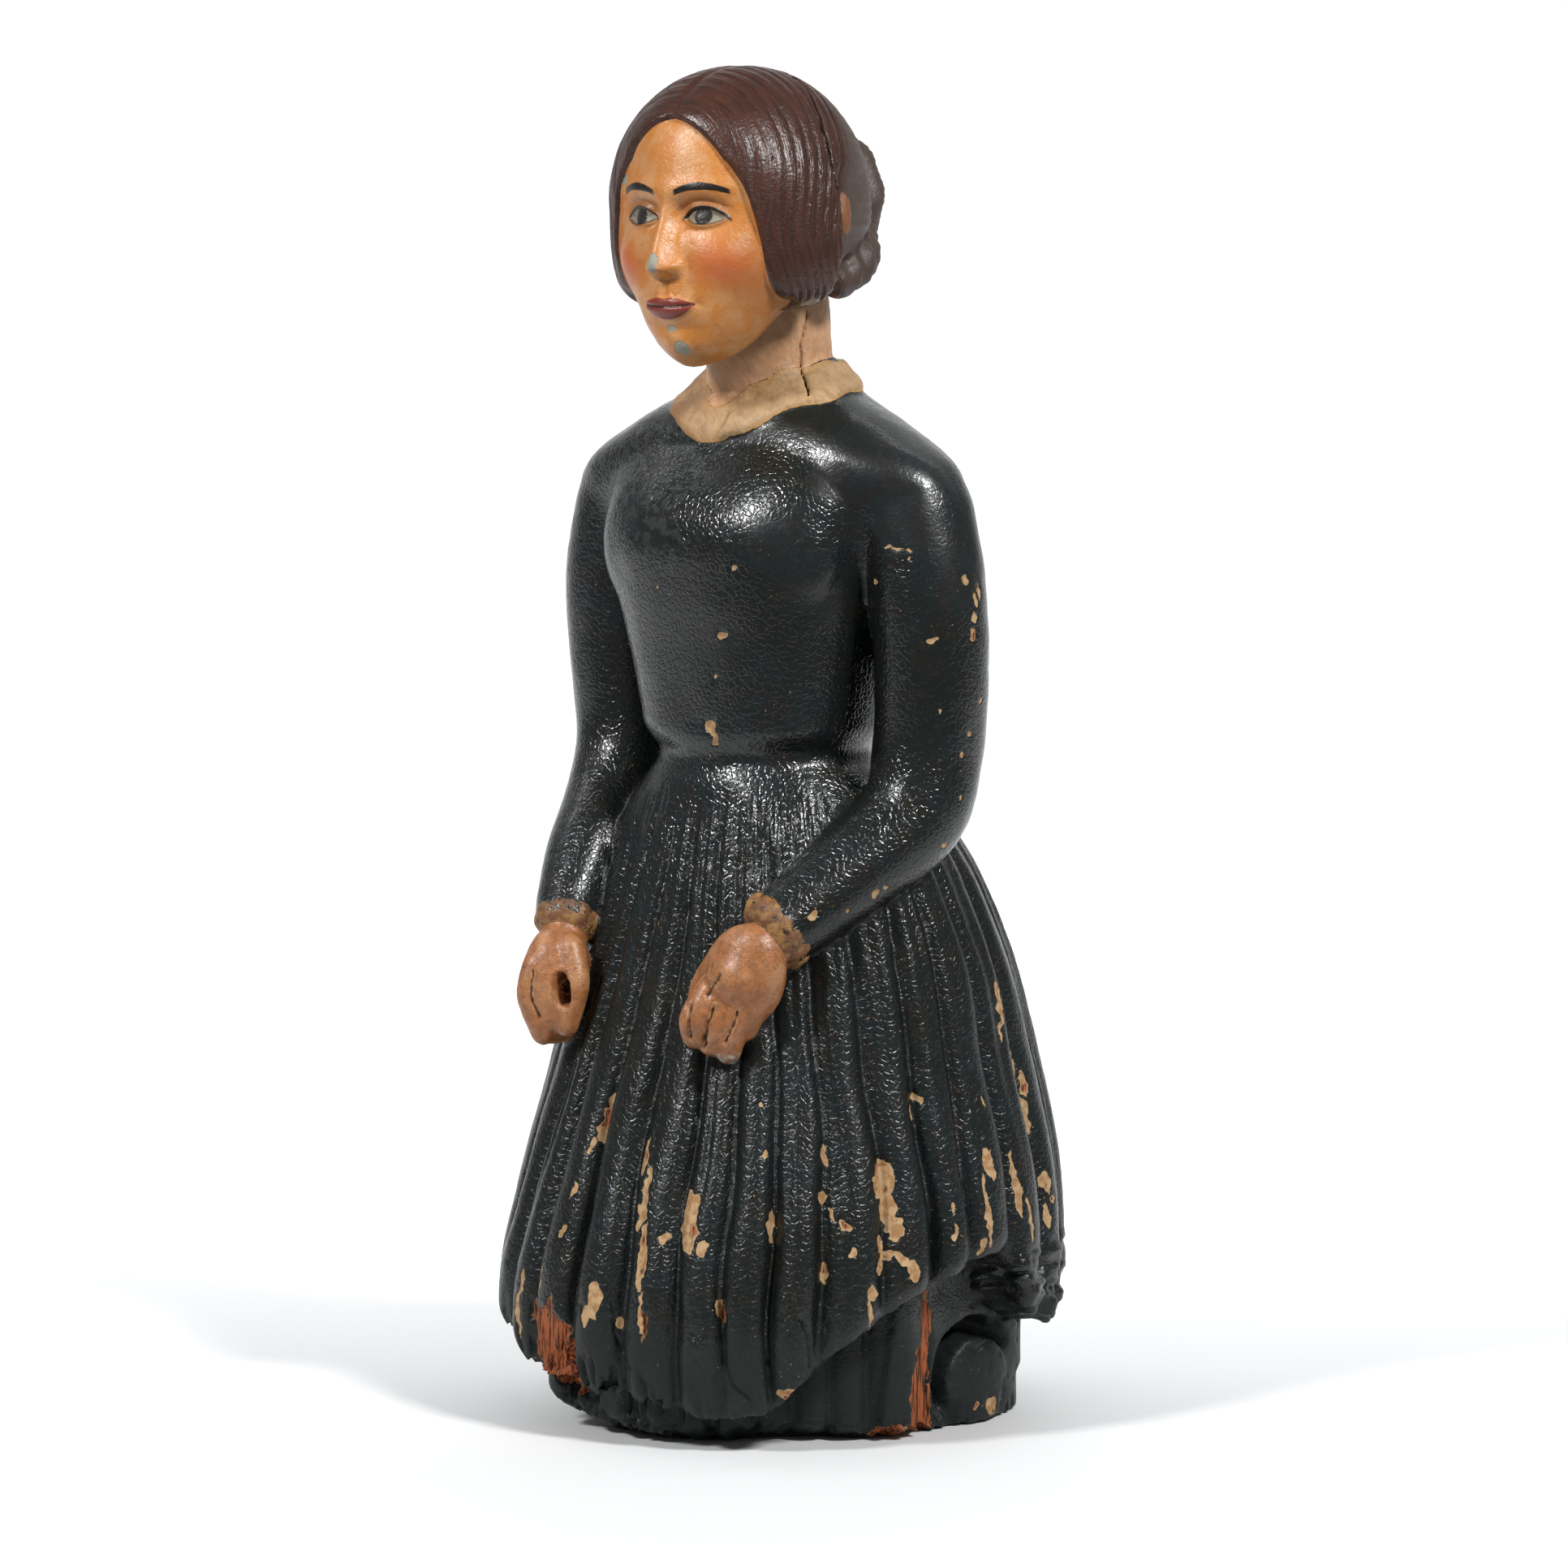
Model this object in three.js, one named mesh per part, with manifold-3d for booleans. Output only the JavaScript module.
// A ship's figurehead: a lady carved from one block of wood, in a close bodice
// and a full pleated skirt, over a base with a scroll on each side.
// Millimetres, +Z up. She faces -Y, and her left hand is on the +X side.
// The origin is on the sawn underside of the base, below the middle of the skirt.

import * as THREE from 'three';
import { mergeVertices } from 'three/addons/utils/BufferGeometryUtils.js';
import Module from 'manifold-3d';

const wasm = await Module();
wasm.setup();

// Driving dimensions.
const totalHeight = 700;
const waistHeight = 350;
const waistEdge = 337;
const waistPoint = 30;
const headHeight = 155;
const headTurn = THREE.MathUtils.degToRad(2);
const headCentre = new THREE.Vector3(3, -38, totalHeight - headHeight / 2);
const undersideHeight = 96;
const pleatCount = 30;
const stepsPerPleat = 4;
const scroll = { x: 105, y: 26, z: 23, radius: 27, groove: 7 };
const socket = { centre: [-62.5, -102.5, 226], radii: [4.4, 17, 9.5], turn: 14 };

// ---------- helpers ----------

// Reads a table of [height, value, value...] rows as smooth curves of the height.
function curves(rows) {
  const slope = (i, k) => {
    const a = rows[Math.max(i - 1, 0)];
    const b = rows[Math.min(i + 1, rows.length - 1)];
    return (b[k] - a[k]) / (b[0] - a[0]);
  };
  return (height) => {
    const h = THREE.MathUtils.clamp(height, rows[0][0], rows.at(-1)[0]);
    const i = Math.min(rows.findLastIndex((row) => row[0] <= h), rows.length - 2);
    const span = rows[i + 1][0] - rows[i][0];
    const t = (h - rows[i][0]) / span;
    const hermite = (k) =>
      rows[i][k] * (1 + 2 * t) * (1 - t) ** 2 +
      slope(i, k) * span * t * (1 - t) ** 2 +
      rows[i + 1][k] * t * t * (3 - 2 * t) +
      slope(i + 1, k) * span * t * t * (t - 1);
    return rows[i].slice(1).map((_, k) => hermite(k + 1));
  };
}

// How far an egg-shaped section reaches at an angle from the front: its half
// width, and its reach to the front and to the back.
function eggRadius(angle, side, front, back, fullness = 2.2) {
  const depth = Math.cos(angle) > 0 ? front : back;
  const sum = Math.abs(Math.cos(angle) / depth) ** fullness +
    Math.abs(Math.sin(angle) / side) ** fullness;
  return sum ** (-1 / fullness);
}

// Half the width of an oval at a share of its half height.
const oval = (share, fullness) => (1 - Math.abs(share) ** fullness) ** (1 / fullness);

// A closed geometry with each vertex moved, as a solid.
function solidOf(geometry, move) {
  geometry.deleteAttribute('normal');
  geometry.deleteAttribute('uv');
  const merged = mergeVertices(geometry, 1e-5);
  const position = merged.getAttribute('position');
  const vertex = new THREE.Vector3();
  for (let i = 0; i < position.count; i++) {
    vertex.fromBufferAttribute(position, i);
    const { x, y, z } = move(vertex);
    position.setXYZ(i, x, y, z);
  }
  return new wasm.Manifold(new wasm.Mesh({
    numProp: 3,
    vertProperties: position.array,
    triVerts: new Uint32Array(merged.index.array),
  }));
}

// A stack of rings. shape(angle, share, rim) gives a point: the angle is from
// the front towards her left, the share runs up from 0 to 1, and rim is 0 at
// the middle of an end face.
function loft(sides, rings, shape) {
  return solidOf(new THREE.CylinderGeometry(1, 1, 1, sides, rings), (v) =>
    shape(Math.atan2(v.x, v.z), v.y + 0.5, Math.hypot(v.x, v.z)));
}

// An ellipsoid, turned about its own centre if a turn is given.
function ball(centre, radii, detail, turn = [0, 0, 0]) {
  const euler = new THREE.Euler(...turn.map(THREE.MathUtils.degToRad));
  return solidOf(new THREE.SphereGeometry(1, detail, Math.ceil(detail * 0.6)), (v) =>
    v.multiply(new THREE.Vector3(...radii)).applyEuler(euler).add(new THREE.Vector3(...centre)));
}

// A round-ended limb through a row of [x, y, z, radius] points. Its sides are
// counted from the direction that is square to both the limb and up.
function limb(points, sides, steps, up = [0, -1, 0.01]) {
  const path = new THREE.CatmullRomCurve3(points.map(([x, y, z]) => new THREE.Vector3(x, y, z)));
  const radii = curves(points.map((point, i) => [i / (points.length - 1), point[3]]));
  const capsule = new THREE.CapsuleGeometry(1, steps, 2, sides, steps);
  return solidOf(capsule, (v) => {
    const share = THREE.MathUtils.clamp(v.y / steps + 0.5, 0, 1);
    const beyond = v.y - (share - 0.5) * steps;
    const along = path.getTangent(share);
    const across = new THREE.Vector3(...up).cross(along).normalize();
    const outward = new THREE.Vector3().crossVectors(along, across);
    const [radius] = radii(share);
    return path.getPoint(share)
      .addScaledVector(across, v.z * radius)
      .addScaledVector(outward, v.x * radius)
      .addScaledVector(along, beyond * radius);
  });
}

// A ring of flat section round a neck or wrist: at(angle) gives its centre line,
// half its thickness and half its height.
function band(sides, at) {
  return solidOf(new THREE.TorusGeometry(2, 1, 5, sides), (v) => {
    const angle = Math.atan2(v.x, -v.y);
    const out = Math.hypot(v.x, v.y) - 2;
    const { middle, thickness, height } = at(angle);
    const outward = new THREE.Vector3(Math.sin(angle), -Math.cos(angle), 0);
    return middle.clone().addScaledVector(outward, out * thickness)
      .add(new THREE.Vector3(0, 0, v.z * height));
  });
}

const join = (solids) => solids.reduce((all, next) => all.add(next));
const point = (angle, radius, centreY, height) => new THREE.Vector3(
  Math.sin(angle) * radius,
  centreY - Math.cos(angle) * radius,
  height,
);
const mirrored = (x, make) => [make(x), make(-x)];

// ---------- skirt and base ----------

// Height of the hem, by degrees from the front towards her left.
const hemHeight = curves([
  [-180, 58], [-120, 70], [-90, 88], [-64, 84], [-42, 60], [-26, 38], [-14, 31],
  [8, 21], [32, 18], [43, 36], [52, 56], [60, 68], [69, 81], [90, 96], [101, 90],
  [120, 72], [145, 60], [180, 58],
]);

// Height: half width, reach to the front, reach to the back, centre Y, pleat depth.
const skirtShape = curves([
  [10, 139, 139, 141, 0, 4],
  [50, 145, 145, 147, 0, 6],
  [80, 146, 144, 149, 1, 6.5],
  [110, 144, 138, 151, 2, 6],
  [140, 139, 129, 150, 3, 5.5],
  [190, 127, 111, 144, 2, 4.5],
  [234, 119, 95, 131, 0, 3.8],
  [270, 108, 83, 118, -3, 3],
  [300, 95, 72, 102, -6, 2.2],
  [318, 81, 64, 86, -9, 1.6],
  [335, 66, 56, 64, -12, 1.2],
  [350, 50, 44, 42, -14, 0.8],
]);

// Pleats differ a little in width and height round the skirt.
function pleatAngle(turn) {
  const even = turn * 2 * Math.PI;
  return even + 0.035 * Math.sin(3 * even + 1) + 0.02 * Math.sin(7 * even);
}

// The skirt's underside rises from the hem to the middle, behind the base.
function makeSkirt() {
  return loft(pleatCount * stepsPerPleat, 7, (even, share, rim) => {
    const angle = pleatAngle(even / (2 * Math.PI));
    const hem = rim ? hemHeight(THREE.MathUtils.radToDeg(angle))[0] : undersideHeight;
    const height = THREE.MathUtils.lerp(hem, waistHeight, share);
    const [side, front, back, centreY, depth] = skirtShape(height);
    const pleat = (even / (2 * Math.PI)) * pleatCount;
    const ridge = Math.abs(Math.sin(Math.PI * pleat)) ** 0.8;
    const uneven = 1 + 0.25 * Math.sin(2.4 * Math.round(pleat - 0.5));
    const radius = eggRadius(angle, side, front, back, 2) - depth * uneven * (1 - ridge);
    return point(angle, rim * radius, centreY, height);
  });
}

// The block under the hem, by degrees from the front towards her left: how far
// out it stands, and how high its worn lower edge is above the floor.
const baseShape = curves([
  [-180, 105, 4], [-150, 112, 5], [-126, 121, 6], [-95, 106, 8], [-70, 112, 22],
  [-42, 130, 44], [-25, 131, 27], [-5, 125, 15], [15, 121, 10], [32, 108, 12],
  [50, 105, 12], [68, 113, 7], [82, 106, 4], [95, 106, 2], [126, 125, 4],
  [150, 112, 5], [180, 105, 4],
]);

// Its sides carry a scroll, and it stands on a flat sawn underside.
function makeBase() {
  const block = loft(48, 3, (angle, share, rim) => {
    const [reach, edge] = baseShape(THREE.MathUtils.radToDeg(angle));
    const folds = 2.5 * Math.cos(14 * angle) * Math.cos(angle / 2) ** 4;
    const foot = Math.max(reach - 5 - 1.3 * edge, 84);
    const height = share > 0 ? THREE.MathUtils.lerp(edge, 112, 1.5 * share - 0.5) : 0;
    return point(angle, rim * (share > 0 ? reach + folds : foot), 0, height);
  });
  const grooves = mirrored(1, (hand) => {
    const turns = Array.from({ length: 7 }, (_, i) => THREE.MathUtils.degToRad(-25 + i * 36));
    return limb(turns.map((turn) => [
      hand * (scroll.x + 1),
      scroll.y - scroll.radius * Math.cos(turn),
      scroll.z + scroll.radius * Math.sin(turn),
      scroll.groove,
    ]), 6, 9, [1, 0, 0]);
  });
  return grooves.reduce((all, groove) => all.subtract(groove), block);
}

// ---------- bodice, arms and hands ----------

// Height: half width, reach to the front, reach to the back, centre Y.
const bodiceShape = curves([
  [305, 60, 72, 54, -12],
  [320, 59, 65.5, 52, -12],
  [335, 59, 58, 50, -12],
  [355, 61, 56, 51, -12],
  [400, 70, 61, 54, -12],
  [435, 78, 68, 54, -12],
  [460, 82, 71, 53, -12],
  [482, 84, 64, 52, -11],
  [502, 80, 50, 46, -9],
  [518, 66, 42, 40, -8],
  [532, 48, 38, 36, -8],
]);

// Its lower edge runs level round the waist and dips to a point in front.
function makeBodice() {
  const bodice = loft(20, 8, (angle, share, rim) => {
    const edge = waistEdge - waistPoint * Math.exp(-((angle / 0.4) ** 2));
    const height = THREE.MathUtils.lerp(edge, 532, share);
    const [side, front, back, centreY] = bodiceShape(height);
    return point(angle, rim * eggRadius(angle, side, front, back, 2.5), centreY, height);
  });
  const shoulders = mirrored(1, (hand) => limb([
    [hand * 20, -8, 499, 34], [hand * 62, -9, 491, 33], [hand * 92, -9, 470, 32],
  ], 10, 3));
  const bust = mirrored(36, (x) => ball([x, -45, 456], [40, 30, 46], 9));
  return join([bodice, ...shoulders, ...bust]);
}

const arms = {
  left: [
    [93, -8, 470, 30.5], [100, -8, 438, 30], [101, -5, 395, 29.5], [98, -4, 352, 28.5],
    [95, -14, 319, 27.5], [80, -47, 290, 23.5], [61, -86, 261, 20],
  ],
  right: [
    [-93, -8, 470, 30.5], [-100, -8, 438, 30], [-101, -6, 395, 29], [-98, -6, 352, 27.5],
    [-95, -20, 321, 26], [-86, -51, 291, 23], [-77, -83, 258, 18.5],
  ],
};

function makeArm(points) {
  return limb(points, 10, 8);
}

// A cuff is a rounded ring at the end of a sleeve, and stands a little proud of it.
function makeCuff(points) {
  const [elbow, wrist] = points.slice(-2).map(([x, y, z]) => new THREE.Vector3(x, y, z));
  const along = wrist.clone().sub(elbow).setLength(5);
  const radius = points.at(-1)[3] + 1.5;
  const ends = [wrist.clone().sub(along), wrist];
  return limb(ends.map((end) => [...end.toArray(), radius]), 10, 1);
}

// Four fingers side by side: rest(i) gives the points of each, i running from 0 to 3.
const finger = (points) => limb(points, 6, 2, [1, 0, 0.2]);
const fingers = (rest) => [0, 1, 2, 3].map((i) => finger(rest(i)));

// Her left hand hangs against the skirt, its back to the front.
function makeLeftHand() {
  const palm = ball([51, -98, 238], [23, 14, 27], 10, [10, 25, 14]);
  const thumb = finger([[38, -98, 246, 9], [31, -102, 232, 8.5], [30, -103, 221, 7]]);
  return join([palm, thumb, ...fingers((i) => {
    const side = 9 * (i - 1.3);
    const tip = 212 - 3 * i + 5 * Math.max(0, i - 2);
    return [
      [49 + side, -106 + 0.55 * side, 236 + 0.5 * side, 7.5],
      [46 + side, -111 + 0.6 * side, (tip + 238) / 2 + 0.3 * side, 8],
      [43 + 0.9 * side, -108 + 0.6 * side, tip, 7],
    ];
  })]);
}

// Her right hand is a fist, with a socket between the thumb and the first finger.
function makeRightHand() {
  const palm = ball([-78, -92, 226], [16.5, 21, 31], 10, [0, 0, 14]);
  const thumb = finger([[-65, -94, 246, 8], [-58, -97, 228, 6.5], [-63, -99, 207, 6.5]]);
  const hole = ball(socket.centre, socket.radii, 8, [0, 0, socket.turn]);
  return join([palm, thumb, ...fingers((i) => [
    [-79 - 3.6 * i, -107 + 5.5 * i, 238 - 2 * i, 6.5],
    [-81 - 3.4 * i, -108 + 6 * i, 221, 7],
    [-77 - 3 * i, -102 + 5 * i, 202 + i, 6.8],
  ])]).subtract(hole);
}

// ---------- neck, collar and head ----------

function makeNeck() {
  const neck = limb([[0, -8, 505, 36], [0, -9, 532, 33], [2, -15, 575, 33]], 12, 2);
  const collars = [
    { radius: 42, lift: -4, thickness: 4.5, height: 8 },
    { radius: 36, lift: 6, thickness: 4, height: 6 },
  ].map(({ radius, lift, thickness, height }) => band(16, (angle) => {
    const front = Math.max(0, Math.cos(angle)) ** 3;
    const middle = point(angle, radius + 3 * front, -8, 532 + lift - 17 * front);
    return { middle, thickness, height };
  }));
  return join([neck, ...collars]);
}

// Relief of the face, measured from the middle of the head, where the eyes are:
// [x, height, half width, half height, rise]. The last list is on both sides.
const featuresInTheMiddle = [
  [0, 4, 5, 8, 4], [0, -10, 5, 8, 8], [0, -22, 6, 5.5, 13],
  [0, -44, 18, 15, 4], [0, -43.5, 12, 3.5, 3.5], [0, -47.5, 13, 1.5, -2.5], [0, -52, 9, 3.6, 3.5],
  [0, -59, 11, 3.5, -2], [0, -69, 13, 8, 5],
];
const featuresOnEachSide = [
  [19, 12, 13, 5, 3], [19, 0, 13, 8, -7], [10, -2, 4, 8, -3], [21, -1, 8, 5.5, 5],
  [7.5, -26, 4, 4, 5], [30, -24, 15, 15, 3],
];

function faceRelief(x, height) {
  const rise = (centreX, [, centreZ, width, tall, top]) =>
    top * Math.exp(-(((x - centreX) / width) ** 2) - ((height - centreZ) / tall) ** 2);
  const both = featuresOnEachSide.flatMap((row) => mirrored(row[0], (centreX) => rise(centreX, row)));
  const middle = featuresInTheMiddle.map((row) => rise(0, row));
  return [...both, ...middle].reduce((sum, value) => sum + value);
}

// An egg, with most of its rings and sides where the features are.
function makeFace() {
  return loft(26, 20, (turn, share, rim) => {
    const angle = Math.sign(turn) * Math.PI * (Math.abs(turn) / Math.PI) ** 1.45;
    const step = 2 * share - 1;
    const height = -12 + (step > 0 ? 76 : 62) * step * (0.45 + 0.55 * step * step);
    const side = 56 * oval(height / 80, 2);
    const front = 64 * oval(height / 80, height > 0 ? 2.5 : 4);
    const radius = eggRadius(angle, side, front, 50 * oval(height / 80, 2), 2.1);
    const relief = Math.cos(angle) > 0 ? faceRelief(Math.sin(angle) * radius, height) : 0;
    return point(angle, rim * (radius + relief), 0, height);
  });
}

// Hair parted in the middle and drawn down over the ears, with its ends in two
// twists that meet in a coiled braid behind.
function makeHair() {
  const cap = loft(28, 8, (angle, share, rim) => {
    const rise = THREE.MathUtils.degToRad(THREE.MathUtils.lerp(-20, 87, share));
    const radius = eggRadius(angle, 62, 75, 75, 2.1) * Math.cos(rise) ** 0.87;
    return point(angle, rim * radius, 0, 4 + 73.5 * Math.sin(rise));
  });
  const lobes = mirrored(50, (x) => ball([x, -8, -13], [14, 30, 33], 10));
  const hairline = new THREE.Shape()
    .moveTo(-38, -95)
    .bezierCurveTo(-44, -60, -50, -25, -43, 5)
    .bezierCurveTo(-38, 30, -20, 44, 0, 52)
    .bezierCurveTo(20, 44, 38, 30, 43, 5)
    .bezierCurveTo(50, -25, 44, -60, 38, -95);
  const opening = solidOf(
    new THREE.ExtrudeGeometry(hairline, { depth: 100, bevelEnabled: false, curveSegments: 3 }),
    (v) => new THREE.Vector3(-v.x, v.z - 116, v.y),
  );
  const twists = mirrored(1, (hand) => limb([
    [hand * 50, 12, -32, 9], [hand * 44, 40, -22, 11], [hand * 24, 64, -12, 11],
  ], 6, 3));
  const ears = mirrored(58, (x) => ball([x, 15, 0], [5, 7, 14], 6));
  const braid = solidOf(new THREE.TorusGeometry(24, 13, 5, 30), (v) => {
    const turn = Math.atan2(v.y, v.x);
    const plait = 1 + 0.09 * Math.sin(10 * turn);
    const radius = 24 + (Math.hypot(v.x, v.y) - 24) * plait;
    return new THREE.Vector3(Math.cos(turn) * radius, 73 - v.z * plait, 7 + Math.sin(turn) * radius);
  });
  const knot = ball([0, 74, 7], [17, 13, 17], 8);
  return join([cap, ...lobes]).subtract(opening).add(join([...twists, ...ears, braid, knot]));
}

function makeHead() {
  const turned = new THREE.Matrix4().makeRotationZ(headTurn).setPosition(headCentre);
  return makeFace().add(makeHair()).transform(turned.elements);
}

// ---------- the whole figure ----------

function meshOf(name, solid, look) {
  const { vertProperties, triVerts } = solid.getMesh();
  const geometry = new THREE.BufferGeometry()
    .setAttribute('position', new THREE.BufferAttribute(vertProperties, 3))
    .setIndex(new THREE.BufferAttribute(triVerts, 1));
  geometry.computeVertexNormals();
  const mesh = new THREE.Mesh(geometry, new THREE.MeshStandardMaterial(look));
  mesh.name = name;
  return mesh;
}

const figure = join([
  makeBase(),
  makeSkirt(),
  makeBodice(),
  makeArm(arms.left),
  makeArm(arms.right),
  makeCuff(arms.left),
  makeCuff(arms.right),
  makeLeftHand(),
  makeRightHand(),
  makeNeck(),
  makeHead(),
]);

const figurehead = new THREE.Group();
figurehead.add(meshOf('figurehead', figure, { color: 0x1b211f, roughness: 0.4, metalness: 0 }));

export default figurehead;
